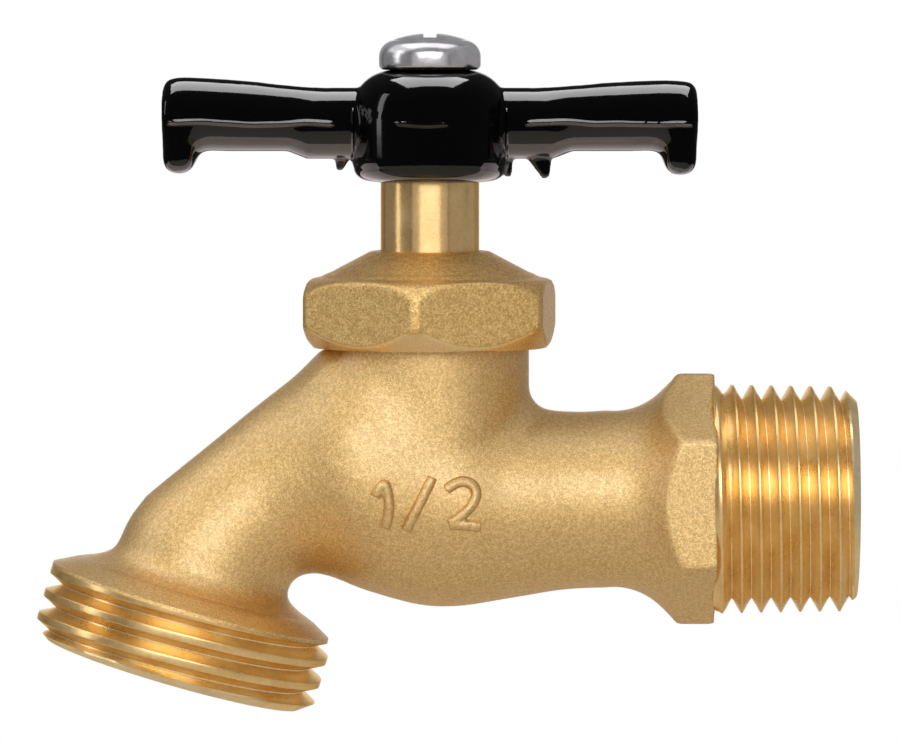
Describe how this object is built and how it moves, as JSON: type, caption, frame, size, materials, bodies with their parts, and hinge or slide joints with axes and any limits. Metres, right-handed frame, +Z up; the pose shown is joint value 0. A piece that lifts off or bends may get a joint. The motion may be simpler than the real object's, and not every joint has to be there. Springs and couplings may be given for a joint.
{
  "type": "garden tap",
  "caption": "Brass garden hose tap with a threaded inlet and hexagon flange, a curved body with a bonnet, a rising stem turned by a T handle, and a hose thread angled downwards.",
  "frame": {"origin": "centre of the inlet thread's end face", "axes": "+X out of the inlet along its axis, towards the pipe it screws into; +Z up along the stem; +Y away from the viewer of the picture"},
  "size_m": [0.0767, 0.027, 0.0629],
  "materials": {
    "cast_brass": "shot-blasted casting, satin",
    "machined_brass": "turned, bright",
    "graphite_packing": "graphited fibre, dull",
    "washer_rubber": "plain rubber",
    "zinc_casting": "bare die casting",
    "black_vinyl": "dipped vinyl, glossy",
    "chromed_steel": "bright plated"
  },
  "bodies": {
    "tap_body": {"valve_body": "cast_brass", "bonnet": "cast_brass", "packing_washer": "machined_brass", "packing_ring": "graphite_packing"},
    "closing_washer": {"seat_washer": "washer_rubber"},
    "spindle": {"stem": "machined_brass", "seat_washer_screw": "machined_brass", "handle_core": "zinc_casting", "handle_cover": "black_vinyl", "handle_screw": "chromed_steel"}
  },
  "joints": [
    {"name": "stem_rise", "type": "slide", "parent": "tap_body", "child": "closing_washer", "axis": [0, 0, 1], "range_m": [0, 0.005]},
    {"name": "handle_turn", "type": "hinge", "parent": "closing_washer", "child": "spindle", "pos_m": [-0.04, 0, 0.0346], "axis": [0, 0, 1], "range_deg": [0, 900]}
  ],
  "couplings": [
    {"joint": "stem_rise", "follows": "handle_turn", "m_per_rad": 0.00031831}
  ]
}
